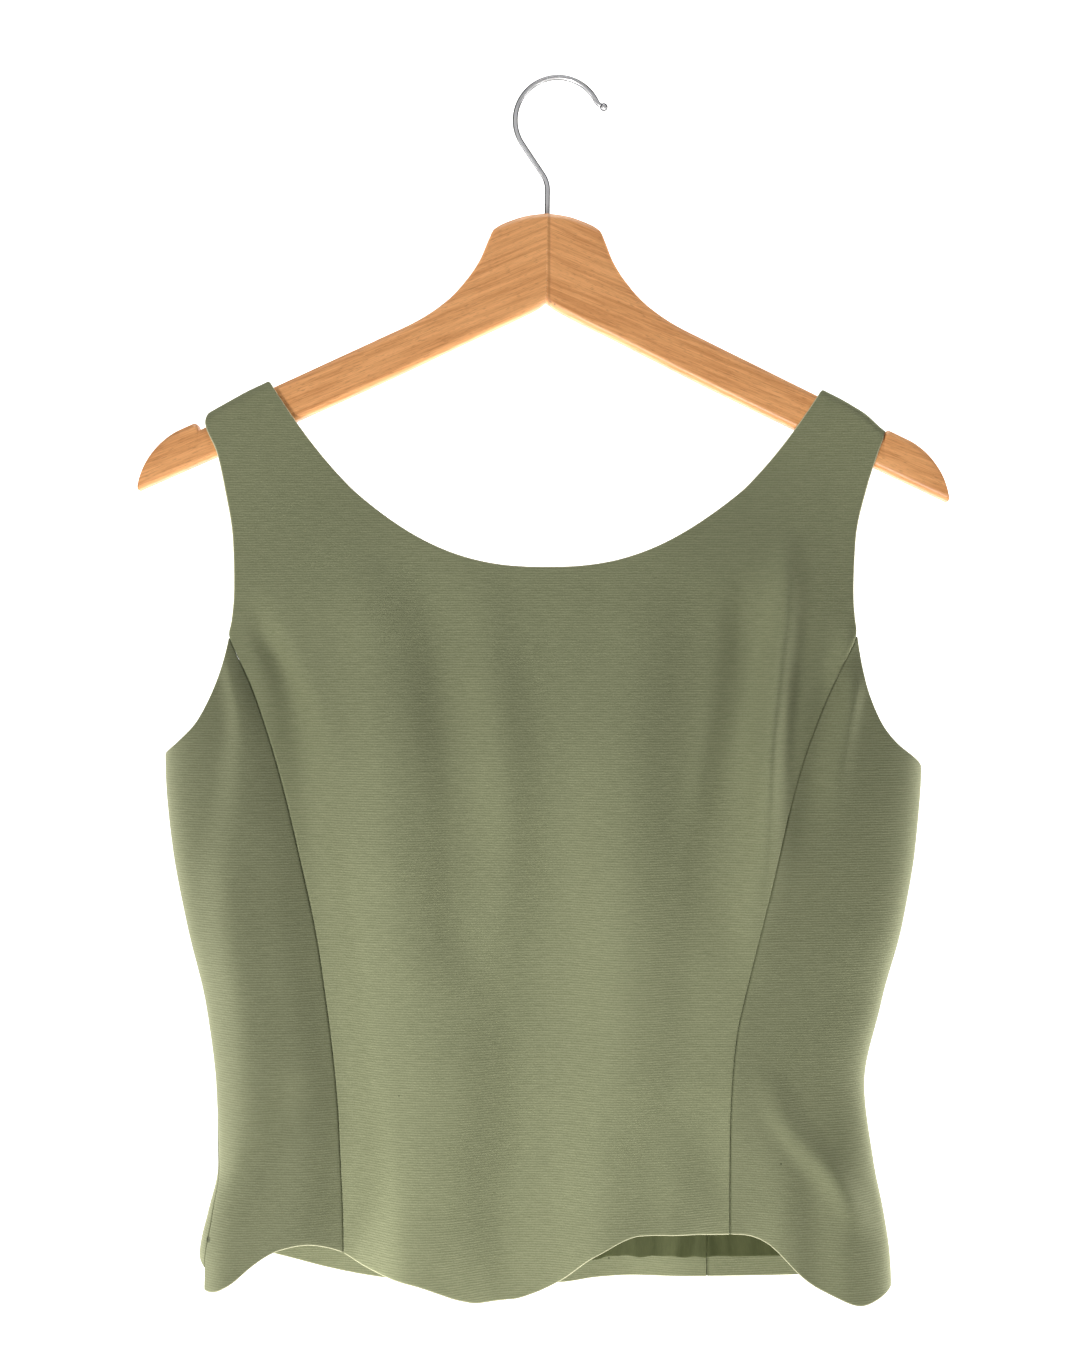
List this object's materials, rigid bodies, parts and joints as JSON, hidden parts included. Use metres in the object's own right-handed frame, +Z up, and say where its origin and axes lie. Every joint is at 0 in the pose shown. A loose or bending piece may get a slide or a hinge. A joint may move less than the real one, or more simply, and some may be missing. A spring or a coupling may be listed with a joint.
{
  "type": "wide-strap top on a hanger",
  "caption": "Short sleeveless top with wide straps, a deep round neckline, princess seams and a wavy hem, hung on a wooden hanger with a wire hook.",
  "frame": {"origin": "inside of the crown of the hanger's hook, where a rail carries it", "axes": "+Z up, the front of the top faces -Y, +X to the right as seen from the front"},
  "size_m": [0.4327, 0.084, 0.6678],
  "materials": {
    "top_cloth": "matt sage-green crepe",
    "lining_cloth": "smooth darker green lining",
    "hanger_wood": "satin lacquer",
    "hook_metal": "polished"
  },
  "bodies": {
    "root": {"front_centre": "top_cloth", "front_side_left": "top_cloth", "front_side_right": "top_cloth", "back_centre": "top_cloth", "back_side_left": "top_cloth", "back_side_right": "top_cloth", "back_hem_facing_left": "top_cloth", "back_hem_facing_centre": "top_cloth", "back_hem_facing_right": "top_cloth", "back_lining_left": "lining_cloth", "back_lining_centre": "lining_cloth", "back_lining_right": "lining_cloth", "hanger_arm_left": "hanger_wood", "hanger_arm_right": "hanger_wood", "hanger_hook": "hook_metal"}
  },
  "joints": []
}
